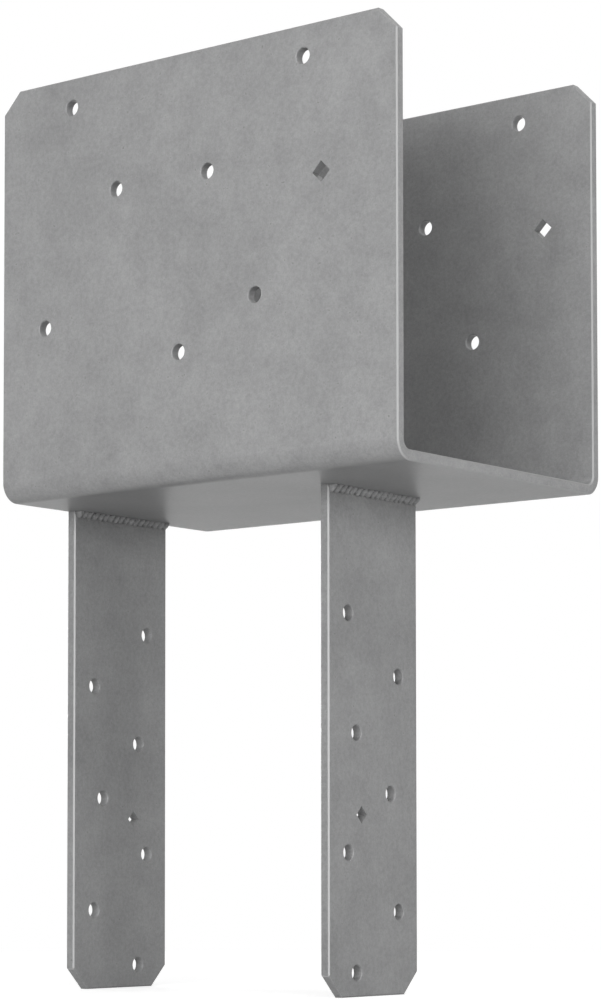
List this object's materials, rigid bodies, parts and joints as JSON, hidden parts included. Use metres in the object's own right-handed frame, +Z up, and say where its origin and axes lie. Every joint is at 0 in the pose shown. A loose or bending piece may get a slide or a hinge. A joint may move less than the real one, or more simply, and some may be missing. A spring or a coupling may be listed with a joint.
{
  "type": "column end cap",
  "caption": "Welded steel cap that joins the end of a timber beam to the top of a timber post with screws.",
  "frame": {"origin": "on the underside of the base, at the axis of the post that the straps hold", "axes": "+X along the beam to the overhanging end of the channel, +Y across the beam, +Z up from the post into the beam seat"},
  "size_m": [0.2159, 0.1488, 0.3982],
  "materials": {
    "channel_sheet": "galvanised, matt, faint spangle",
    "strap_sheet": "galvanised, matt, faint spangle",
    "weld_metal": "galvanised weld bead with ripples"
  },
  "bodies": {
    "root": {"cap_channel": "channel_sheet", "end_strap": "strap_sheet", "inner_strap": "strap_sheet", "end_strap_weld": "weld_metal", "inner_strap_weld": "weld_metal"}
  },
  "joints": []
}
